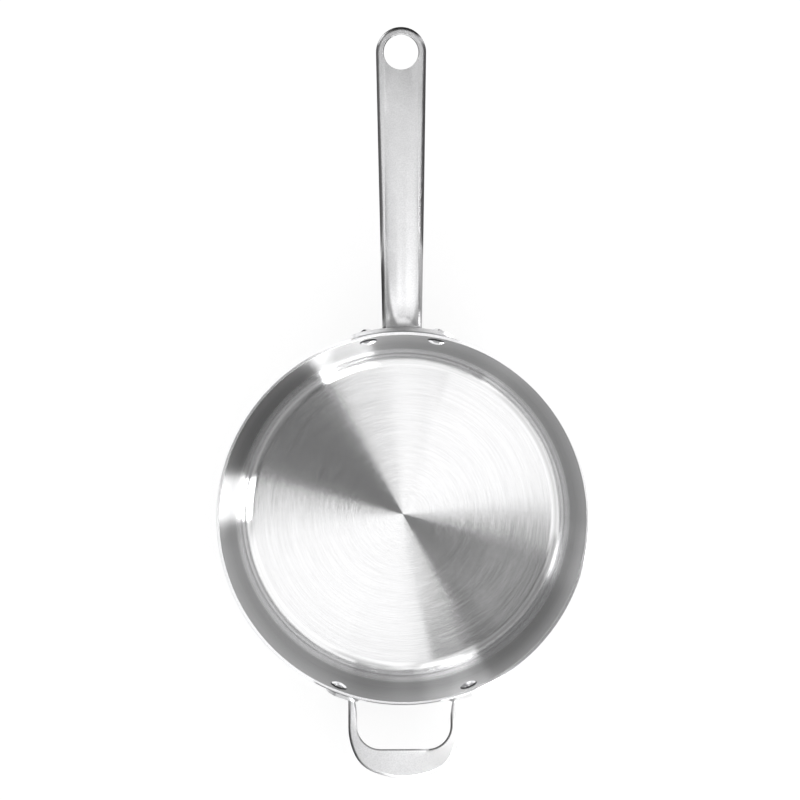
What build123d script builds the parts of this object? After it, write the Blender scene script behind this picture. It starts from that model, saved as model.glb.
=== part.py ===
from build123d import *
from math import asin, cos, degrees, hypot, pi, radians, sin, tan
import os

# Saucier pan: a low, open bowl pressed from three-ply clad sheet, with a long cast handle
# and a cast helper handle, each held to the wall by two solid rivets.
# Millimetres. The origin is the middle of the base's underside, +Z is up, and the long
# handle points along +Y.

# Bowl, measured on the finished pressing
rim_diameter = 240.0
pan_height = 72.0
wall_slope = 9.5  # degrees that the wall leans out from upright
corner_radius = 9.0  # inside, where the floor turns up into the wall
inner_steel = 0.4
core_thickness = 1.5
outer_steel = 0.5
rim_round = 0.7  # the polisher rolls over both edges of the cut rim

# Rivets: solid, headed inside and upset outside
rivet_drop = 9.0  # below the rim, to the rivet's axis
shank_diameter = 6.0
head_diameter = 11.2
head_height = 2.2
tail_diameter = 9.0
handle_tail_height = 2.9
helper_tail_height = 1.9
rivet_edge = 0.6  # upright edge of a head, under its dome
rivet_bury = 1.0  # how far a dome's edge runs on before the curved wall trims it

# Long handle: the flange that hugs the wall
handle_rivet_spacing = 44.8
flange_thickness = 3.0
flange_width = 66.8
flange_height = 15.0
flange_lobe_width = 37.0  # under the neck, where the flange reaches lower
flange_lobe_height = 22.0
flange_lobe_round = 7.0
flange_blend = 4.0  # inside corner between an arm and the lobe
flange_edge_round = 1.3

# Long handle: the bar, from the flange to the hanging eye
neck_drop = 6.0  # below the rim, to the handle's top line where it leaves the flange
neck_bend_radius = 30.0
neck_rise = 24.0  # degrees above level, after the neck's bend
neck_width = 25.6
neck_depth = 12.0  # crest to underside, at the flange
neck_fillet = 2.0  # where the neck meets the flange
neck_sink = 1.5  # the neck starts this far inside the flange's outer face
grip_depth = 6.6
eye_reach = 294.5  # from the pan's axis to the middle of the hanging hole
eye_tilt = 6.5  # degrees above level, at the hanging eye
eye_width = 31.6
eye_depth = 4.2
hole_diameter = 21.8
hole_edge_round = 0.8
shoulder_round = 3.6  # upper outside corners of the bar, at most
lower_round = 1.2  # lower outside corners of the bar
crest_width = 0.4  # flat on top of each raised border
channel_depth = 1.5
channel_trace = 0.04  # what is left of the channel at the flange and at the eye

# Long handle: places along the bar, as shares of the neck's bend or of the grip
shoulder_share = 0.55  # of the bar's depth: the most that a shoulder takes
side_share = 0.6  # of the bar's depth: where its sides turn into the underside
neck_shares = [0.12, 0.24, 0.38, 0.55, 0.75, 1.0]
grip_shares = [0.12, 0.26, 0.42, 0.58, 0.72, 0.86, 1.0]
channel_start_shares = (0.12, 0.5)
channel_fade_shares = (0.1, 1.0)
neck_thinning_share = 1.35

# Helper handle, drawn flat in its own tilted plane
helper_rivet_spacing = 85.6
helper_tilt = 10.0  # degrees above level
helper_thickness = 5.2
helper_edge_round = 2.0
helper_width = 71.6
helper_run = 49.0  # from the wall to the bar's outer edge
helper_bar = 18.5
leg_width = 5.8
finger_corner = 15.0
heel_radius = 40.0  # outer contour, from the leg into the corner
heel_turn = 28.0
toe_radius = 21.0  # outer contour, round the corner
toe_turn = 38.0
leg_splay_radius = 45.0  # inner contour, where the leg narrows towards the wall
leg_splay_start = 11.0  # from the wall
leg_splay_turn = 25.0
leg_flare_radius = 6.0  # outer contour, where the leg spreads onto its pad
leg_flare_turn = 70.0
leg_flare_end = 0.5  # from the wall
pad_thickness = 2.6
pad_height = 14.6
pad_inner = 29.0  # from the handle's middle line to the pad's inner end
pad_edge_round = 1.1
leg_sink = 1.2  # a leg ends this far inside its pad

# For all pieces
overrun = 20.0  # cutting tools run past what they cut by this much
touch = 0.001  # points nearer than this are the same

sheet = inner_steel + core_thickness + outer_steel
slope = radians(wall_slope)
rim_radius = rim_diameter / 2
corner_height = sheet + corner_radius
wall_run = (pan_height - corner_height) * tan(slope)
floor_radius = rim_radius - wall_run - (corner_radius + sheet) / cos(slope)
rivet_height = pan_height - rivet_drop


def wall_radius(height, offset):
    """Radius of the wall at a height, on the surface this far outside the cooking surface."""
    wall_lean = (height - corner_height) * tan(slope)
    return floor_radius + wall_lean + (corner_radius + offset) / cos(slope)


def rivet_azimuth(spacing):
    """Degrees from a handle's middle line to a rivet, for two rivets this far apart."""
    return degrees(asin(spacing / 2 / wall_radius(rivet_height, sheet)))


def bowl_side(offset):
    """Half outline at an offset: end of the floor, middle of the bend, foot of the wall, rim."""
    bend = corner_radius + offset
    half_turn = (pi / 2 - slope) / 2
    return (
        (floor_radius, sheet - offset),
        (floor_radius + bend * sin(half_turn), corner_height - bend * cos(half_turn)),
        (floor_radius + bend * cos(slope), corner_height - bend * sin(slope)),
        (wall_radius(pan_height, offset), pan_height),
    )


def ply_section(near, far):
    """Half section of the sheet between two offsets from the cooking surface."""
    inside, outside = bowl_side(near), bowl_side(far)
    outline = [
        Line((0, sheet - near), inside[0]),
        ThreePointArc(*inside[:3]),
        Line(inside[2], inside[3]),
        Line(inside[3], outside[3]),
        Line(outside[3], outside[2]),
        ThreePointArc(*outside[2::-1]),
        Line(outside[0], (0, sheet - far)),
        Line((0, sheet - far), (0, sheet - near)),
    ]
    return make_face(outline)


def spin(section):
    """Turns a half section, drawn as radius and height, about the pan's axis."""
    return revolve(Plane.XZ * section, Axis.Z)


def rounded_bowl():
    """The whole sheet as one solid, with its rim rounded."""
    section = ply_section(0, sheet)
    rim_corners = section.vertices().sort_by(Axis.Y)[-2:]
    return spin(fillet(rim_corners, rim_round))


def rivet_plane(azimuth):
    """On the cooking surface at a rivet, looking out through the wall. Azimuth 0 is +Y."""
    turn = radians(azimuth)
    radius = wall_radius(rivet_height, 0)
    return Plane(
        origin=(radius * sin(turn), radius * cos(turn), rivet_height),
        x_dir=(cos(turn), -sin(turn), 0),
        z_dir=(sin(turn) * cos(slope), cos(turn) * cos(slope), -sin(slope)),
    )


def rivet_shank(azimuth, grip):
    """A rivet's shank, from inside its head to inside its tail, and the hole that it fills."""
    length = grip + 2 * rivet_edge
    bar = Cylinder(shank_diameter / 2, length, align=(Align.CENTER, Align.CENTER, Align.MIN))
    return rivet_plane(azimuth) * Pos(0, 0, -rivet_edge) * bar


def rivet_dome(diameter, height):
    """A rivet's domed end on z = 0, with a stub below that what it sits on trims."""
    half, rise = diameter / 2, height - rivet_edge
    ball = (half**2 + rise**2) / (2 * rise)
    middle = asin(half / ball) / 2
    outline = [
        Line((0, height), (0, -rivet_bury)),
        Line((0, -rivet_bury), (half, -rivet_bury)),
        Line((half, -rivet_bury), (half, rivet_edge)),
        ThreePointArc(
            (half, rivet_edge),
            (ball * sin(middle), height - ball + ball * cos(middle)),
            (0, height),
        ),
    ]
    return revolve(Plane.XZ * make_face(outline), Axis.Z)


def set_rivet(azimuth, tail_height, plate_thickness, plate, bowl):
    """A set rivet: its head against the cooking surface, its tail upset against a plate."""
    grip = sheet + plate_thickness
    head = rivet_plane(azimuth) * Rot(180, 0, 0) * rivet_dome(head_diameter, head_height)
    tail = rivet_plane(azimuth) * Pos(0, 0, grip) * rivet_dome(tail_diameter, tail_height)
    shank = rivet_shank(azimuth, grip)
    return (head - bowl) + shank + (tail - plate)


def wall_plate(front_outline, thickness, outward):
    """A plate that hugs the wall, cut to an outline drawn in front view."""
    low, high = corner_height, pan_height
    band = Polyline(
        (wall_radius(low, sheet), low),
        (wall_radius(high, sheet), high),
        (wall_radius(high, sheet + thickness), high),
        (wall_radius(low, sheet + thickness), low),
        close=True,
    )
    prism = extrude(Plane.XZ * front_outline, rim_radius + overrun, dir=(0, outward, 0))
    return spin(make_face(band)) & prism


def round_outside(plate, radius):
    """Rounds the edges of a wall plate's outer face, which is its largest."""
    outer_face = plate.faces().sort_by(SortBy.AREA)[-1]
    return fillet(outer_face.edges(), radius)


def blend(x, start, end):
    """0 up to start, 1 from end on, and a smooth step between them."""
    t = min(max((x - start) / (end - start), 0), 1)
    return t * t * (3 - 2 * t)


def handle_line(run):
    """Point and angle on the handle's top line, this far along it from the flange's face."""
    height = pan_height - neck_drop
    y, z = wall_radius(height, sheet + flange_thickness), height
    angle = min(run, neck_length) / neck_bend_radius - slope
    y += neck_bend_radius * (sin(angle) - sin(-slope))
    z += neck_bend_radius * (cos(-slope) - cos(angle))
    if run > neck_length:
        first, last = radians(neck_rise), radians(eye_tilt)
        grip_radius = (eye_reach - y) / (sin(first) - sin(last))
        angle = first - (run - neck_length) / grip_radius
        y += grip_radius * (sin(first) - sin(angle))
        z += grip_radius * (cos(angle) - cos(first))
    return y, z, angle


def grip_run():
    """Length of the handle's top line from the end of the neck's bend to the middle of the eye."""
    first, last = radians(neck_rise), radians(eye_tilt)
    return (eye_reach - handle_line(neck_length)[0]) / (sin(first) - sin(last)) * (first - last)


neck_length = neck_bend_radius * (radians(neck_rise) + slope)
grip_length = grip_run()


def bar_sizes(run):
    """Half width, depth and channel depth of the bar at a run."""
    along = max(run, 0) / (neck_length + grip_length)
    half = (neck_width + (eye_width - neck_width) * along) / 2
    grip_share = (run - neck_length) / grip_length
    depth = grip_depth + (eye_depth - grip_depth) * blend(grip_share, 0, 1)
    depth += (neck_depth - depth) * (1 - blend(run / neck_length, 0, neck_thinning_share))
    opened = blend(run / neck_length, *channel_start_shares)
    kept = opened * (1 - blend(grip_share, *channel_fade_shares))
    return half, depth, channel_trace + (channel_depth - channel_trace) * kept


def right_half(run):
    """The right half of the bar's section, as edges from the middle of its top round to its belly."""
    half, depth, channel = bar_sizes(run)
    side = depth * side_share
    reach, rise = half - lower_round, depth - side
    belly = (reach**2 + rise**2 - lower_round**2) / (2 * (rise - lower_round))
    out, down = reach / (belly - lower_round), (belly - rise) / (belly - lower_round)
    mid = hypot(1 + out, down)
    belly_share = asin(out) / 2
    shoulder = min(shoulder_round, depth * shoulder_share)
    shoulder_mid = shoulder * (1 - sin(pi / 4))
    crest = (half - shoulder - crest_width, 0)
    return [
        Spline((0, -channel), crest, tangents=[(1, 0), (1, 0)]),
        Line(crest, (half - shoulder, 0)),
        ThreePointArc(
            (half - shoulder, 0), (half - shoulder_mid, -shoulder_mid), (half, -shoulder)
        ),
        Line((half, -shoulder), (half, -side)),
        ThreePointArc(
            (half, -side),
            (reach + lower_round * (1 + out) / mid, -side - lower_round * down / mid),
            (belly * out, belly - depth - belly * down),
        ),
        ThreePointArc(
            (belly * out, belly - depth - belly * down),
            (belly * sin(belly_share), belly - depth - belly * cos(belly_share)),
            (0, -depth),
        ),
    ]


def bar_plane(run):
    """The plane square to the handle's top line at a run, its y axis pointing up out of the bar."""
    y, z, angle = handle_line(run)
    return Plane(origin=(0, y, z), x_dir=(-1, 0, 0), z_dir=(0, cos(angle), sin(angle)))


def bar_section(run):
    """The whole section of the bar at a run, in place."""
    edges = right_half(run)
    other = [mirror(edge, about=Plane.YZ) for edge in edges]
    return bar_plane(run) * make_face(edges + other)


def eye_end():
    """The handle's round end: half of its last section, turned about the hole's axis."""
    run = neck_length + grip_length
    edges = right_half(run)
    closing = Line(edges[-1] @ 1, edges[0] @ 0)
    half_section = make_face(edges + [closing])
    return bar_plane(run) * revolve(half_section, Axis.Y, -180)


def eye_hole():
    """What the hanging hole takes away: a bore whose two edges are rolled over."""
    radius, depth = hole_diameter / 2, eye_depth
    wide = radius + hole_edge_round
    roll = hole_edge_round * (1 - sin(pi / 4))
    outline = [
        Line((0, overrun), (wide, overrun)),
        Line((wide, overrun), (wide, 0)),
        ThreePointArc((wide, 0), (radius + roll, -roll), (radius, -hole_edge_round)),
        Line((radius, -hole_edge_round), (radius, hole_edge_round - depth)),
        ThreePointArc(
            (radius, hole_edge_round - depth), (radius + roll, roll - depth), (wide, -depth)
        ),
        Line((wide, -depth), (wide, -overrun)),
        Line((wide, -overrun), (0, -overrun)),
        Line((0, -overrun), (0, overrun)),
    ]
    return bar_plane(neck_length + grip_length) * revolve(make_face(outline), Axis.Y)


def handle_flange():
    """The long handle's flange: two arms for the rivets and a lower lobe under the neck."""
    top = rivet_height + flange_height / 2
    arms = Pos(0, rivet_height) * SlotOverall(flange_width, flange_height)
    lobe = Pos(0, top - flange_lobe_height / 2) * Rectangle(flange_lobe_width, flange_lobe_height)
    lobe = fillet(lobe.vertices().sort_by(Axis.Y)[:2], flange_lobe_round)
    outline = arms + lobe
    armpit = top - flange_height
    inside_corners = outline.vertices().filter_by_position(
        Axis.Y, armpit - touch, armpit + touch
    ).filter_by_position(Axis.X, -flange_lobe_width / 2 - touch, flange_lobe_width / 2 + touch)
    outline = fillet(inside_corners, flange_blend)
    plate = wall_plate(outline, flange_thickness, 1)
    return round_outside(plate, flange_edge_round)


def long_handle():
    """The long handle, one casting: flange, neck, channelled grip and hanging eye."""
    runs = [-neck_sink] + [share * neck_length for share in neck_shares]
    runs += [neck_length + share * grip_length for share in grip_shares]
    bar = loft([bar_section(run) for run in runs])
    flange = handle_flange()
    handle = flange + bar
    new_edges = handle.edges() - flange.edges() - bar.edges()
    neck_root = new_edges.filter_by_position(Axis.Y, 0, wall_radius(pan_height, sheet + flange_thickness))
    handle = fillet(neck_root, neck_fillet)
    return handle + eye_end() - eye_hole()


def helper_plane():
    """The helper handle's middle plane: y runs out from the wall, x to the pan's -X side."""
    tilt = radians(helper_tilt)
    return Plane(
        origin=(0, -wall_radius(rivet_height, sheet), rivet_height),
        x_dir=(-1, 0, 0),
        z_dir=(0, sin(tilt), cos(tilt)),
    )


def helper_half_outline():
    """One half of the helper handle's flat outline, from its pad round the bar and back to its pad."""
    half, inner = helper_width / 2, helper_width / 2 - leg_width
    inner_bar = helper_run - helper_bar
    turned = radians(heel_turn + toe_turn)
    heel = JernArc((half, 0), (0, 1), heel_radius, heel_turn)
    toe = JernArc(heel @ 1, heel % 1, toe_radius, toe_turn)
    brow = JernArc(toe @ 1, toe % 1, (toe @ 1).X / cos(turned), 90 - heel_turn - toe_turn)
    rise = helper_run - (brow @ 1).Y
    corner_bend = [Pos(0, rise) * arc for arc in (heel, toe, brow)]
    flare = radians(leg_flare_turn)
    flare_start = (
        half + leg_flare_radius * (1 - cos(flare)),
        leg_flare_end - leg_flare_radius * sin(flare),
    )
    flare_arc = JernArc(flare_start, (-sin(flare), cos(flare)), leg_flare_radius, -leg_flare_turn)
    finger_arc = JernArc((inner - finger_corner, inner_bar), (1, 0), finger_corner, -90)
    splay_arc = JernArc((inner, leg_splay_start), (0, -1), leg_splay_radius, leg_splay_turn)
    return [
        flare_arc,
        Line(flare_arc @ 1, (half, rise)),
        *corner_bend,
        Line((0, inner_bar), finger_arc @ 0),
        finger_arc,
        Line(finger_arc @ 1, splay_arc @ 0),
        splay_arc,
        Line(splay_arc @ 1, flare_arc @ 0),
    ]


def helper_handle():
    """The helper handle, one casting: a rounded loop on two pads that hug the wall."""
    edges = helper_half_outline()
    outline = make_face(edges + [mirror(edge, about=Plane.YZ) for edge in edges])
    loop = extrude(outline, helper_thickness / 2, both=True)
    flat_faces = loop.faces().filter_by(Axis.Z)
    loop = fillet(flat_faces.edges(), helper_edge_round)
    low, high, seat = corner_height, pan_height, sheet + pad_thickness - leg_sink
    inside_pads = Polyline(
        (0, low), (wall_radius(low, seat), low), (wall_radius(high, seat), high), (0, high), close=True
    )
    loop = helper_plane() * loop - spin(make_face(inside_pads))
    pad_outer = helper_rivet_spacing / 2 + pad_height / 2
    pad_outline = SlotOverall(pad_outer - pad_inner, pad_height)
    pad_outline = Pos((pad_outer + pad_inner) / 2, rivet_height) * pad_outline
    pad = round_outside(wall_plate(pad_outline, pad_thickness, -1), pad_edge_round)
    return loop + pad + mirror(pad, about=Plane.YZ)


def build_parts():
    """Every piece of the pan, by name."""
    bowl = rounded_bowl()
    plies = {
        "inner_steel_layer": (0, inner_steel),
        "aluminium_core": (inner_steel, inner_steel + core_thickness),
        "outer_steel_layer": (inner_steel + core_thickness, sheet),
    }
    pieces = {name: spin(ply_section(*span)) & bowl for name, span in plies.items()}
    pieces["long_handle"] = long_handle()
    pieces["helper_handle"] = helper_handle()

    handle_turn = rivet_azimuth(handle_rivet_spacing)
    helper_turn = rivet_azimuth(helper_rivet_spacing)
    rivets = {
        "handle_rivet_left": (-handle_turn, handle_tail_height, flange_thickness, "long_handle"),
        "handle_rivet_right": (handle_turn, handle_tail_height, flange_thickness, "long_handle"),
        "helper_rivet_left": (180 + helper_turn, helper_tail_height, pad_thickness, "helper_handle"),
        "helper_rivet_right": (180 - helper_turn, helper_tail_height, pad_thickness, "helper_handle"),
    }
    for name, (azimuth, tail, plate, held) in rivets.items():
        pieces[name] = set_rivet(azimuth, tail, plate, pieces[held], bowl)
    for name, (azimuth, tail, plate, held) in rivets.items():
        hole = rivet_shank(azimuth, sheet + plate)
        for drilled in (*plies, held):
            pieces[drilled] -= hole
    return pieces


os.makedirs("parts", exist_ok=True)
for name, piece in build_parts().items():
    export_step(piece, f"parts/{name}.step")
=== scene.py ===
import math

import bpy
import numpy as np
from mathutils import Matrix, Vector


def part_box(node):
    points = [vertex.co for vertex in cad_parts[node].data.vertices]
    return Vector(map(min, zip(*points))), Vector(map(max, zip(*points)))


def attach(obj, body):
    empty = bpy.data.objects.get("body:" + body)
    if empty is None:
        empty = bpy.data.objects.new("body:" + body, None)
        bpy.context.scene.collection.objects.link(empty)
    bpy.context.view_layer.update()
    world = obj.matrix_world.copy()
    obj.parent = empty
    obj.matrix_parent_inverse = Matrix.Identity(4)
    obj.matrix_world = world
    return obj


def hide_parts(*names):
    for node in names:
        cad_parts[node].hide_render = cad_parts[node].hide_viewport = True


# Saucier pan seen from straight above, on a white floor. Metres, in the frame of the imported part:
# the base rests on z = 0, the bowl's axis is z and the long handle points along +Y.

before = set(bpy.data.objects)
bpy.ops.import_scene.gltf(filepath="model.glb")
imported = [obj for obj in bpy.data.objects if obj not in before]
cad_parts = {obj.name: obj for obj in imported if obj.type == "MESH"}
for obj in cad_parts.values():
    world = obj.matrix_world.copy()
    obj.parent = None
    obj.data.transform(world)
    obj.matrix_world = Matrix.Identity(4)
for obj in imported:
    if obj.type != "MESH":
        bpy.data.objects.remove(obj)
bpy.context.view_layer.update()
print("frame:", len(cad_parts), "nodes")

camera = dict(
    place=(-0.0016, 0.0760, 1.885),
    roll=math.radians(-0.25),
    lens=127.1,
    sensor=36.0,
)

bowl = dict(
    rimRadius=0.120,  # before the rim's edges are rolled over
    lean=math.radians(9.5),
    bend=0.009,  # inside, from the floor into the wall
    innerSteel=0.0004,
    rimRound=0.0007,
    turns=384,
    bendSteps=18,
    rimSteps=10,
    floorRings=6,
)

roundBrushing = dict(
    steel=(0.86, 0.86, 0.865),
    paintedWallShade=0.28,  # painted shade: the share of that brightness left on the wall above the bend
    riseStart=0.0072,  # outside the flat floor, where that share sets in and where it is reached
    riseEnd=0.0120,
    edgeShade=0.26,  # painted shade, taken off along a line where the floor runs into the bend
    edgeMiddle=0.0035,  # that line's place outside the flat floor, and its half width
    edgeHalf=0.0020,
    paintedRimLight=0.50,  # painted light, added up to the rim
    paintedSideLight=0.60,  # painted light, added to the wall round one direction, lighter on that side
    sideTurn=math.radians(322),
    roughness=0.12,
    wallRoughness=0.30,
    lean=0.55,
    wallLean=1.2,
    stretch=1.0,
    alongTurn=0.25,
    leansPerMetre=30000.0,
    scratchesPerMetre=1700.0,
    scratchLengths=3.0,
    bandsPerMetre=300.0,
)

outsideBrushing = dict(
    steel=(0.78, 0.78, 0.79),
    roughness=0.34,
    stretch=0.9,
    scratchesPerMetre=1900.0,
    scratchLengths=5.0,
)

coreMetal = dict(
    aluminium=(0.88, 0.88, 0.89),
    roughness=0.22,
    stretch=0.9,
    linesPerMetre=5200.0,
)

satinCast = dict(
    steel=(1.0, 1.0, 1.01),
    leftTone=0.78,  # painted shade and light: the steel's brightness across the helper handle, darker to the left and lighter to the right
    rightTone=1.04,
    toneFrom=-0.042,  # x of either end of that blend
    toneTo=0.030,
    roughness=0.36,
    grainPerMetre=1150.0,
    mottlePerMetre=160.0,
    grainDepth=0.00004,
    grainShade=0.09,
)

gripChannel = dict(
    footTone=0.75,  # painted shade: the steel's brightness, painted along the grip from its foot to its eye
    eyeTone=0.58,
    toneSpan=(0.14, 0.30),  # y of either end of that blend
    # painted light on the flange at the grip's foot
    flangeTone=1.45,
    flangeSpan=(0.116, 0.120),
    bumpIn=(0.118, 0.128),  # y where the bump sets in, and where it fades towards the eye
    bumpOut=(0.15, 0.27),
    half=0.0105,  # from its middle to either crest
    slope=0.9,
    # painted shade like a smile at the channel's foot
    smileFoot=0.1222,
    smileShift=0.0012,
    smileCurve=1400000.0,
    smileWidth=0.0033,
    smileShade=0.60,
    smileSpan=(0.135, 0.165),
    smileSide=(0.002, 0.009),
)

polishedRivet = dict(
    steel=(0.80, 0.80, 0.81),
    roughness=0.14,
    # painted shade where a rivet head meets the wall, and the width of that line
    paintedGapShade=0.06,
    paintedGapWidth=0.0008,
    scuffsPerMetre=700.0,
)

studio = dict(
    worldLight=1.0,
    scrimDistance=12.0,
    floorRadius=7.0,
    floorShade=0.40,
    floorGlow=0.65,
)


class Wire:
    # a number on its way through the nodes; sums, products and powers add Math nodes
    def __init__(self, bench, socket):
        self.bench = bench
        self.socket = socket

    def join(self, operation, first, second):
        return self.bench.math(operation, first, second)

    def __add__(self, other):
        return self.join("ADD", self, other)

    def __radd__(self, other):
        return self.join("ADD", other, self)

    def __sub__(self, other):
        return self.join("SUBTRACT", self, other)

    def __rsub__(self, other):
        return self.join("SUBTRACT", other, self)

    def __mul__(self, other):
        return self.join("MULTIPLY", self, other)

    def __rmul__(self, other):
        return self.join("MULTIPLY", other, self)

    def __truediv__(self, other):
        return self.join("DIVIDE", self, other)

    def __pow__(self, other):
        return self.join("POWER", self, other)


class Bench:
    # one material's nodes
    def __init__(self, name):
        self.material = bpy.data.materials.new(name)
        self.material.use_nodes = True
        self.tree = self.material.node_tree
        self.tree.nodes.clear()
        self.spot = None

    def node(self, kind, settings=None, sockets=None):
        made = self.tree.nodes.new(kind)
        for key, value in (settings or {}).items():
            setattr(made, key, value)
        for key, value in (sockets or {}).items():
            if isinstance(value, Wire):
                self.tree.links.new(value.socket, made.inputs[key])
            elif isinstance(value, bpy.types.NodeSocket):
                self.tree.links.new(value, made.inputs[key])
            else:
                made.inputs[key].default_value = value
        return made

    def math(self, operation, *values):
        made = self.node("ShaderNodeMath", {"operation": operation}, dict(enumerate(values)))
        return Wire(self, made.outputs[0])

    def place(self):
        # object coordinates, made once, as three numbers
        if not self.spot:
            self.where = self.node("ShaderNodeTexCoord").outputs["Object"]
            parts = self.node("ShaderNodeSeparateXYZ", None, {"Vector": self.where})
            self.spot = [Wire(self, parts.outputs[axis]) for axis in "XYZ"]
        return self.spot

    def vector(self, x, y, z):
        return self.node("ShaderNodeCombineXYZ", None, {"X": x, "Y": y, "Z": z}).outputs[0]

    def vectorMath(self, operation, first, second=None, scale=None):
        sockets = {0: first}
        if second is not None:
            sockets[1] = second
        if scale is not None:
            sockets["Scale"] = scale
        return self.node("ShaderNodeVectorMath", {"operation": operation}, sockets).outputs[0]

    def noise(self, vector, scale, detail=2.0, roughness=0.5):
        made = self.node(
            "ShaderNodeTexNoise",
            {"noise_dimensions": "3D"},
            {"Vector": vector, "Scale": scale, "Detail": detail, "Roughness": roughness},
        )
        return Wire(self, made.outputs["Fac"])

    def ramp(self, value, low, high, fromValue=0.3, toValue=0.7):
        # value between its usual limits turned into low to high
        made = self.node(
            "ShaderNodeMapRange",
            {"clamp": True},
            {"Value": value, "From Min": fromValue, "From Max": toValue, "To Min": low, "To Max": high},
        )
        return Wire(self, made.outputs["Result"])

    def shaded(self, colour, share):
        # a colour made lighter or darker by a number
        return self.vectorMath("SCALE", colour, scale=share)

    def finish(self, shader):
        self.node("ShaderNodeOutputMaterial", None, {"Surface": shader})
        return self.material


def addMesh(name, points, quads, corners, sharpAngle=None):
    # points as an (n, 3) array, quads as (m, 4) and corners as (k, 3) rows of point numbers
    mesh = bpy.data.meshes.new(name)
    loops = np.concatenate([quads.ravel(), corners.ravel()]).astype(np.int32)
    sizes = np.concatenate([np.full(len(quads), 4), np.full(len(corners), 3)])
    starts = np.concatenate([[0], np.cumsum(sizes)[:-1]]).astype(np.int32)
    mesh.vertices.add(len(points))
    mesh.vertices.foreach_set("co", np.asarray(points, np.float32).ravel())
    mesh.loops.add(len(loops))
    mesh.loops.foreach_set("vertex_index", loops)
    mesh.polygons.add(len(sizes))
    mesh.polygons.foreach_set("loop_start", starts)
    mesh.update(calc_edges=True)
    mesh.validate()
    mesh.shade_smooth()
    if sharpAngle:
        mesh.set_sharp_from_angle(angle=sharpAngle)
    made = bpy.data.objects.new(name, mesh)
    bpy.context.scene.collection.objects.link(made)
    return made


def latheSurface(name, radii, heights, turns, sharpAngle):
    # each point of a profile that starts and ends on the axis goes round it:
    # x = r cos a, y = r sin a, z = height; the two ends are single points
    angle = np.arange(turns) * 2 * math.pi / turns
    r, z = radii[1:-1, None], heights[1:-1, None]
    rings = np.stack([r * np.cos(angle), r * np.sin(angle), z + 0 * angle], -1).reshape(-1, 3)
    points = np.concatenate([rings, [[0, 0, heights[0]], [0, 0, heights[-1]]]])
    here = np.arange(turns)
    after = (here + 1) % turns
    row = np.arange(len(radii) - 3)[:, None] * turns
    quads = np.stack([row + here, row + turns + here, row + turns + after, row + after], -1)
    last = (len(radii) - 3) * turns
    startPole, endPole = len(rings), len(rings) + 1
    first = np.stack([here * 0 + startPole, here, after], -1)
    final = np.stack([last + here, here * 0 + endPole, last + after], -1)
    return addMesh(name, points, quads.reshape(-1, 4), np.concatenate([first, final]), sharpAngle)


# The bowl: three layers, each between two offsets from the cooking surface

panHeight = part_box("aluminium_core")[1].z
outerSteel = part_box("aluminium_core")[0].z
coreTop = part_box("inner_steel_layer")[0].z
sheet = coreTop + bowl["innerSteel"]
cornerHeight = sheet + bowl["bend"]
wallRun = (panHeight - cornerHeight) * math.tan(bowl["lean"])
floorRadius = bowl["rimRadius"] - wallRun - (bowl["bend"] + sheet) / math.cos(bowl["lean"])


def wallRadius(height, offset):
    # radius of the wall at a height, on the surface this far outside the cooking surface
    rise = (height - cornerHeight) * math.tan(bowl["lean"])
    return floorRadius + rise + (bowl["bend"] + offset) / math.cos(bowl["lean"])


def rimHeight(offset):
    # height of the rim over an offset: flat in the middle, a quarter round at either edge
    lean, rolled = bowl["lean"], bowl["rimRound"]
    inside = np.clip(offset / rolled, 0, 1 - math.sin(lean)) - 1
    outside = np.clip((offset - sheet) / rolled + 1, -math.sin(lean), 1)
    turned = np.where(offset < sheet / 2, np.arccos(inside), np.arccos(outside)) - lean
    return panHeight - rolled + rolled * np.sin(turned)


def bowlLine(offset):
    # from the axis along the floor, round the bend and up to the rim, as radii and heights
    turn = np.linspace(0, math.pi / 2 - bowl["lean"], bowl["bendSteps"])
    reach = bowl["bend"] + offset
    floor = np.linspace(0, floorRadius, bowl["floorRings"])[:-1]
    top = rimHeight(np.array([offset]))
    radii = [floor, floorRadius + reach * np.sin(turn), wallRadius(top, offset)]
    heights = [floor * 0 + sheet - offset, cornerHeight - reach * np.cos(turn), top]
    return np.concatenate(radii), np.concatenate(heights)


def bowlLayer(name, near, far):
    over = np.linspace(near, far, bowl["rimSteps"] + 2)[1:-1]
    insideLine, outsideLine = bowlLine(near), bowlLine(far)
    radii = np.concatenate([insideLine[0], wallRadius(rimHeight(over), over), outsideLine[0][::-1]])
    heights = np.concatenate([insideLine[1], rimHeight(over), outsideLine[1][::-1]])
    return latheSurface(name, radii, heights, bowl["turns"], math.radians(32))


cookingSurface = bowlLayer("cookingSurface", 0.0, bowl["innerSteel"])
coreLayer = bowlLayer("coreLayer", bowl["innerSteel"], sheet - outerSteel)
outerSkin = bowlLayer("outerSkin", sheet - outerSteel, sheet)
for made, node, slotName in (
    (cookingSurface, "inner_steel_layer", "cooking_surface"),
    (coreLayer, "aluminium_core", "core"),
    (outerSkin, "outer_steel_layer", "outer_skin"),
):
    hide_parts(node)
    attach(made, "root")
print("bowl:", floorRadius, "m flat radius,", sheet, "m sheet")


# Finishes


def roundLines(bench, across, lengths):
    # noise drawn out round the z axis: the direction from the axis counts a little, r + z a lot
    x, y, z = bench.place()
    r = (x * x + y * y) ** 0.5 + 0.00001
    return bench.vector(x / r * lengths, y / r * lengths, (r + z) * across)


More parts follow.
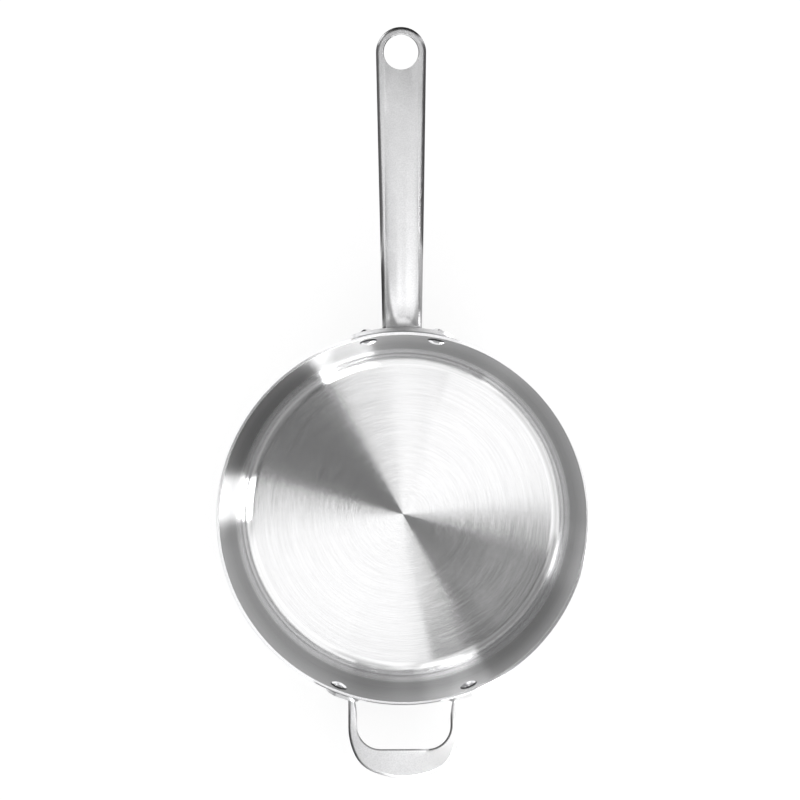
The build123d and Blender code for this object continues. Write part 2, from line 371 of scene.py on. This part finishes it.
def roundBrushedSteel(name, look):
    bench = Bench(name)
    x, y, z = bench.place()
    fromAxis = (x * x + y * y) ** 0.5 + 0.00001
    leans = bench.noise(roundLines(bench, look["leansPerMetre"], 4.0), 1.0, 1.0)
    fine = bench.noise(roundLines(bench, look["scratchesPerMetre"], look["scratchLengths"]), 1.0, 2.0)
    bands = bench.noise(roundLines(bench, look["bandsPerMetre"], 0.6), 1.0, 2.0)
    upTheBend = bench.ramp(
        fromAxis, 0.0, 1.0, floorRadius + look["riseStart"], floorRadius + look["riseEnd"]
    )
    tone = bench.ramp(fine, 0.95, 1.05) * bench.ramp(bands, 0.98, 1.02)
    # painted shade: the wall above the bend darker than the floor
    tone = tone * (1 - upTheBend * (1 - look["paintedWallShade"]))
    # painted shade along a line where the floor runs into the bend
    fromEdge = bench.math("ABSOLUTE", fromAxis - (floorRadius + look["edgeMiddle"]))
    tone = tone * (1 - look["edgeShade"] * bench.ramp(fromEdge, 1.0, 0.0, 0.0004, look["edgeHalf"]))
    # painted light: lighter up to the rim
    nearRim = bench.ramp(z, 0.0, 1.0, panHeight - 0.030, panHeight - 0.004)
    tone = tone * (1 + look["paintedRimLight"] * nearRim)
    # painted light on the wall round one direction
    towardSide = (x * math.cos(look["sideTurn"]) + y * math.sin(look["sideTurn"])) / fromAxis
    tone = tone * (1 + look["paintedSideLight"] * bench.ramp(towardSide, 0.0, 1.0, 0.80, 0.98) * upTheBend)
    roughness = look["roughness"] + upTheBend * (look["wallRoughness"] - look["roughness"])
    # each scratch leans the normal in the plane through the axis
    normal = bench.node("ShaderNodeNewGeometry").outputs["Normal"]
    alongScratch = bench.vector(-1 * y / fromAxis, x / fromAxis, 0.0)
    across = bench.vectorMath("CROSS_PRODUCT", alongScratch, normal)
    lean = (leans - 0.5) * (look["lean"] * (1 - upTheBend * (1 - look["wallLean"])))
    leaned = bench.vectorMath("ADD", normal, bench.vectorMath("SCALE", across, scale=lean))
    leaned = bench.vectorMath("NORMALIZE", leaned)
    shader = bench.node(
        "ShaderNodeBsdfPrincipled",
        {"distribution": "GGX"},
        {
            "Base Color": bench.shaded(look["steel"], tone),
            "Metallic": 1.0,
            "Roughness": roughness * bench.ramp(fine, 0.94, 1.06),
            "Anisotropic": look["stretch"],
            "Anisotropic Rotation": look["alongTurn"],
            "Normal": leaned,
        },
    )
    return bench.finish(shader.outputs[0])


def outsideSteel(name, look):
    bench = Bench(name)
    fine = bench.noise(roundLines(bench, look["scratchesPerMetre"], look["scratchLengths"]), 1.0, 2.0)
    shader = bench.node(
        "ShaderNodeBsdfPrincipled",
        None,
        {
            "Base Color": bench.shaded(look["steel"], bench.ramp(fine, 0.96, 1.04)),
            "Metallic": 1.0,
            "Roughness": look["roughness"] * bench.ramp(fine, 0.92, 1.08),
            "Anisotropic": look["stretch"],
            "Anisotropic Rotation": 0.25,
        },
    )
    return bench.finish(shader.outputs[0])


def turnedAluminium(name, look):
    bench = Bench(name)
    lines = bench.noise(roundLines(bench, look["linesPerMetre"], 2.0), 1.0, 1.0)
    shader = bench.node(
        "ShaderNodeBsdfPrincipled",
        None,
        {
            "Base Color": bench.shaded(look["aluminium"], bench.ramp(lines, 0.95, 1.05)),
            "Metallic": 1.0,
            "Roughness": look["roughness"] * bench.ramp(lines, 0.9, 1.1),
            "Anisotropic": look["stretch"],
            "Anisotropic Rotation": 0.25,
        },
    )
    return bench.finish(shader.outputs[0])


def channelShape(bench, shape):
    # a bump over the solid's channel, whose sides then rise steeper next to the crests: at u between
    # -1 and 1 across it, the height added is u^2 (u^2 / 4 - 0.18), and it fades out towards the eye
    x, y, z = bench.place()
    u = bench.ramp(x / shape["half"], -1.0, 1.0, -1.0, 1.0)
    fade = bench.ramp(y, 0.0, 1.0, *shape["bumpIn"]) * bench.ramp(y, 1.0, 0.3, *shape["bumpOut"])
    height = u * u * (u * u * 0.25 - 0.18) * fade * (shape["half"] * shape["slope"])
    # its middle is round, so the normals turn slowly there
    normal = bench.node("ShaderNodeNewGeometry").outputs["Normal"]
    turned = bench.ramp(bench.math("ABSOLUTE", u), 0.0, 1.0, 0.0, 0.4)
    rounded = bench.vectorMath("MULTIPLY", normal, bench.vector(turned, 1.0, 1.0))
    rounded = bench.vectorMath("NORMALIZE", rounded)
    # its foot has a painted shade like a smile, darkest along y = smileFoot + smileCurve a^4,
    # a being x - smileShift
    a = x - shape["smileShift"]
    steep = a * a * a * (4 * shape["smileCurve"])
    above = (y - (a * a * a * a * shape["smileCurve"] + shape["smileFoot"])) / shape["smileWidth"]
    above = above / (steep * steep + 1) ** 0.5
    shade = bench.ramp(y, shape["smileShade"], 0.2, *shape["smileSpan"])
    shade = shade * bench.ramp(x, 1.1, 0.75, *shape["smileSide"])
    # painted shade along the grip, darker towards the eye, and painted light on its flange
    tone = bench.ramp(y, shape["footTone"], shape["eyeTone"], *shape["toneSpan"])
    tone = tone * bench.ramp(y, shape["flangeTone"], 1.0, *shape["flangeSpan"])
    return height, rounded, tone * (1 - shade / (1 + above * above * above * above))


def blastedSteel(name, look, shape=None):
    bench = Bench(name)
    x, y, z = bench.place()
    grain = bench.noise(bench.where, look["grainPerMetre"], 3.0, 0.6)
    mottle = bench.noise(bench.where, look["mottlePerMetre"], 2.0)
    tone = bench.ramp(grain, 1 - look["grainShade"], 1 + look["grainShade"]) * bench.ramp(mottle, 0.98, 1.02)
    bumpSockets = {"Strength": 1.0, "Distance": 1.0, "Height": grain * look["grainDepth"]}
    if shape:
        height, rounded, foot = channelShape(bench, shape)
        bumpSockets["Height"] = bumpSockets["Height"] + height
        bumpSockets["Normal"] = rounded
        # painted shade and light along the grip
        tone = tone * foot
    else:
        # painted shade to the left and painted light to the right across the helper handle
        tone = tone * bench.ramp(x, look["leftTone"], look["rightTone"], look["toneFrom"], look["toneTo"])
    bump = bench.node("ShaderNodeBump", None, bumpSockets)
    shader = bench.node(
        "ShaderNodeBsdfPrincipled",
        None,
        {
            "Base Color": bench.shaded(look["steel"], tone),
            "Metallic": 1.0,
            "Roughness": look["roughness"] * bench.ramp(mottle, 0.94, 1.06),
            "Normal": bump.outputs[0],
        },
    )
    return bench.finish(shader.outputs[0])


def polishedSteel(name, look):
    bench = Bench(name)
    x, y, z = bench.place()
    scuffs = bench.noise(bench.where, look["scuffsPerMetre"], 3.0)
    # painted shade where a head meets the wall, by how far a point is off the sheet
    wallHere = (z - cornerHeight) * math.tan(bowl["lean"]) + wallRadius(cornerHeight, 0.0)
    off = (wallHere - (x * x + y * y) ** 0.5) * math.cos(bowl["lean"]) + sheet / 2
    off = bench.math("ABSOLUTE", off) - sheet / 2
    paintedGapShading = bench.ramp(off, look["paintedGapShade"], 1.0, look["paintedGapWidth"] * 0.7, look["paintedGapWidth"] * 1.3)
    shader = bench.node(
        "ShaderNodeBsdfPrincipled",
        None,
        {
            "Base Color": bench.shaded(look["steel"], paintedGapShading * bench.ramp(scuffs, 0.97, 1.03)),
            "Metallic": 1.0,
            "Roughness": look["roughness"] * bench.ramp(scuffs, 0.8, 1.25),
        },
    )
    return bench.finish(shader.outputs[0])


def wear(piece, material):
    piece.data.materials.clear()
    piece.data.materials.append(material)


wear(cookingSurface, roundBrushedSteel("roundBrushedSteel", roundBrushing))
wear(coreLayer, turnedAluminium("turnedAluminium", coreMetal))
wear(outerSkin, outsideSteel("outsideSteel", outsideBrushing))
castFinishes = {
    "long_handle": blastedSteel("blastedGrip", satinCast, gripChannel),
    "helper_handle": blastedSteel("blastedSteel", satinCast),
}
rivetFinish = polishedSteel("polishedSteel", polishedRivet)
for name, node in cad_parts.items():
    if name in castFinishes:
        wear(node, castFinishes[name])
    elif "rivet" in name:
        wear(node, rivetFinish)
    else:
        wear(node, coreLayer.data.materials[0])
print("finishes: done")


# Studio: a white floor, white all round, and a scrim overhead with its lamps and dark gaps

scrimPatches = [
    # azimuth from and to with the width of either edge, then elevation from and to with the width
    # of its edges, then glow; a later patch is drawn over the earlier ones
    ("darkHorizon", -180, 180, 0, 0, -20, 14, 8, 0.25),
    ("litHorizon", 12, 100, 8, 8, -20, 22, 8, 1.75),
    ("brightRoom", -180, 180, 0, 0, 14, 120, 8, 1.16),
    ("glowAbove", 8, 92, 8, 8, 28, 70, 8, 1.50),
    ("besideWedge", 97, 113, 4, 4, 32, 62, 6, 2.20),
    ("neckGlow", 232, 284, 10, 10, 5, 52, 8, 1.60),
    ("neckSpot", 250, 280, 8, 8, 14, 36, 8, 3.30),
    ("wedgeAbove", 95, 119, 2, 2, 60, 120, 7, 0.82),
    ("wedgeBelow", 280, 298, 2, 2, 60, 120, 7, 1.00),
    ("gapUpperLeft", 118.5, 166, 2, 4, 62, 120, 6, 0.11),
    ("dimUpperLeft", 118.5, 160, 2, 8, 16, 58, 6, 0.34),
    ("fillUpperLeft", 118.5, 171, 2, 8, 60, 72, 6, 0.42),
    ("lowUpperLeft", 118.5, 162, 2, 8, -20, 18, 6, 2.60),
    ("besideGap", 157, 173, 4, 4, -20, 48, 8, 0.60),
    ("gapLowerRight", 297, 360.5, 4, 18, 46, 120, 6, 0.12),
    ("lowLowerRight", 297, 350, 6, 10, 8, 46, 6, 0.45),
    ("lampBelow", 280.5, 299.3, 1.5, 1.5, 10, 62, 6, 12.5),
    ("lampBeside", 345.5, 360, 1.5, 1.5, 10, 60, 6, 8.0),
    ("lampAbove", 104, 118, 3, 3, -4, 18, 6, 4.5),
]

nearCards = [
    # middle, then half its reach one way and the other, then glow at its start and end the first way
    ("cardRight", (0.040, 0.240, 0.086), (0, 0.072, 0.018), (0, 0, 0.064), 0.09, 0.09),
    ("cardRightNeck", (0.040, 0.146, 0.070), (0, 0.020, 0), (0, 0, 0.040), 0.80, 0.60),
    ("cardLeft", (-0.042, 0.240, 0.086), (0, 0.072, 0.018), (0, 0, 0.064), 0.16, 0.16),
    ("cardLeftNeck", (-0.036, 0.144, 0.060), (0, 0.018, 0), (0, 0, 0.042), 0.03, 0.10),
    ("cardBeforeNeck", (0.020, 0.112, 0.145), (0.020, 0, 0), (0, 0, 0.065), 1.15, 0.35),
    ("cardAboveEye", (0.010, 0.330, 0.120), (0.034, 0, 0), (0, 0, 0.060), 0.02, 0.02),
    ("cardBesideGrip", (0.020, 0.140, 0.260), (0, 0.110, 0), (0, 0, 0.140), 1.02, 1.02),
    ("cardOverWedge", (0.052, -0.146, 0.250), (0.019, 0.007, 0), (0.017, -0.047, 0), 0.05, 0.05),
    ("cardLowerRight", (0.119, -0.100, 0.400), (0.026, 0.031, 0), (0.046, -0.039, 0), 0.40, 0.40),
    ("cardLeftOfHelper", (-0.062, -0.150, 0.075), (0, 0.035, 0), (0, 0, 0.050), 0.04, 0.04),
    ("cardByHelperCorner", (-0.040, -0.192, 0.085), (0.026, -0.014, 0), (0, 0, 0.060), 0.08, 0.60),
    ("cardBeforeHelper", (0.0, -0.1280, 0.125), (0.055, 0, 0), (0, 0, 0.045), 0.62, 1.35),
    ("cardInFingerGap", (0.0, -0.1245, 0.050), (0.026, 0, 0), (0, 0, 0.035), 0.18, 0.18),
    ("cardByRightLeg", (0.016, -0.138, 0.066), (0, 0.012, 0), (0, 0, 0.026), 0.05, 0.05),
    ("cardByLeftLeg", (0.014, -0.138, 0.066), (0, 0.012, 0), (0, 0, 0.026), 1.20, 1.20),
]


def softStep(x):
    t = np.clip(x, 0, 1)
    return t * t * (3 - 2 * t)


def scrimGlow(az, el):
    glow = az * 0 + studio["worldLight"]
    for name, azFrom, azTo, fromEdge, toEdge, low, high, elEdge, level in scrimPatches:
        share = softStep((el - low) / elEdge + 0.5) * softStep((high - el) / elEdge + 0.5)
        if fromEdge:
            half = (azTo - azFrom) % 360 / 2
            away = (az - azFrom - half + 180) % 360 - 180
            share = share * softStep((half + away) / fromEdge + 0.5) * softStep((half - away) / toEdge + 0.5)
        glow = glow + (level - glow) * share
    return glow


def hangScrim(name, elFrom, elTo, rows, columns=360):
    # a band of a sphere round the pan, azimuth along one side and elevation along the other
    az, el = np.meshgrid(np.arange(columns) * 360 / columns, np.linspace(elFrom, elTo, rows + 1), indexing="ij")
    a, e = np.radians(az), np.radians(el)
    points = studio["scrimDistance"] * np.stack([np.cos(e) * np.cos(a), np.cos(e) * np.sin(a), np.sin(e)], -1)
    # leaned over until its top is where the bowl's middle mirrors the camera
    eye = np.array(camera["place"])
    points[..., :2] -= points[..., 2:] * eye[:2] / eye[2]
    here = np.arange(columns)[:, None] * (rows + 1) + np.arange(rows)
    after = (here + rows + 1) % (columns * (rows + 1))
    quads = np.stack([here, here + 1, after + 1, after], -1).reshape(-1, 4)
    scrim = addMesh(name, points.reshape(-1, 3), quads, np.zeros((0, 3), int))
    attribute = scrim.data.attributes.new("glow", "FLOAT", "POINT")
    attribute.data.foreach_set("value", scrimGlow(az, el).astype(np.float32).ravel())
    scrim.visible_camera = False
    scrim.visible_diffuse = False
    return scrim


def standCard(name, middle, across, up, startGlow, endGlow):
    # four corners round the middle, seen only in what is polished
    middle, across, up = (np.array(part) for part in (middle, across, up))
    corners = [middle - across - up, middle + across - up, middle + across + up, middle - across + up]
    card = addMesh(name, corners, np.array([[0, 1, 2, 3]]), np.zeros((0, 3), int))
    attribute = card.data.attributes.new("glow", "FLOAT", "POINT")
    attribute.data.foreach_set("value", [startGlow, endGlow, endGlow, startGlow])
    card.visible_camera = False
    card.visible_diffuse = False
    return card


def scrimFinish():
    bench = Bench("glowingScrim")
    level = bench.node("ShaderNodeAttribute", {"attribute_name": "glow"}).outputs["Fac"]
    shader = bench.node("ShaderNodeEmission", None, {"Strength": level})
    return bench.finish(shader.outputs[0])


def floorFinish():
    bench = Bench("whiteFloor")
    rays = bench.node("ShaderNodeLightPath")
    seen = Wire(bench, rays.outputs["Is Camera Ray"])
    seen = bench.math("MAXIMUM", seen, rays.outputs["Is Glossy Ray"])
    seen = bench.math("MAXIMUM", seen, rays.outputs["Is Transmission Ray"])
    shade = studio["floorShade"]
    matte = bench.node("ShaderNodeBsdfDiffuse", None, {"Color": (shade, shade, shade, 1)})
    glow = bench.node("ShaderNodeEmission", None, {"Strength": seen * studio["floorGlow"]})
    both = bench.node("ShaderNodeAddShader", None, {0: matte.outputs[0], 1: glow.outputs[0]})
    return bench.finish(both.outputs[0])


def layFloor():
    # a flat disc: a middle point and one ring of points
    turn = np.arange(96) * 2 * math.pi / 96
    ring = studio["floorRadius"] * np.stack([np.cos(turn), np.sin(turn), 0 * turn], -1)
    here = np.arange(96)
    corners = np.stack([here * 0 + 96, here, (here + 1) % 96], -1)
    return addMesh("floor", np.concatenate([ring, [[0, 0, 0]]]), np.zeros((0, 4), int), corners)


floor = layFloor()
wear(floor, floorFinish())
glowing = scrimFinish()
scrim = hangScrim("scrim", 0.2, 89.9, 90)
for hung in [scrim] + [standCard(*card) for card in nearCards]:
    wear(hung, glowing)

world = bpy.data.worlds.new("whiteRoom")
world.use_nodes = True
world.node_tree.nodes["Background"].inputs["Color"].default_value = (1, 1, 1, 1)
world.node_tree.nodes["Background"].inputs["Strength"].default_value = studio["worldLight"]
world.cycles.sampling_method = "NONE"
bpy.context.scene.world = world
print("studio:", len(scrimPatches), "patches on the scrim,", len(nearCards), "cards")


lens = bpy.data.cameras.new("overhead")
lens.lens = camera["lens"]
lens.sensor_width = camera["sensor"]
viewer = bpy.data.objects.new("overhead", lens)
viewer.location = camera["place"]
viewer.rotation_euler = (0, 0, camera["roll"])
bpy.context.scene.collection.objects.link(viewer)
bpy.context.scene.camera = viewer
bpy.context.scene.view_settings.view_transform = "Standard"
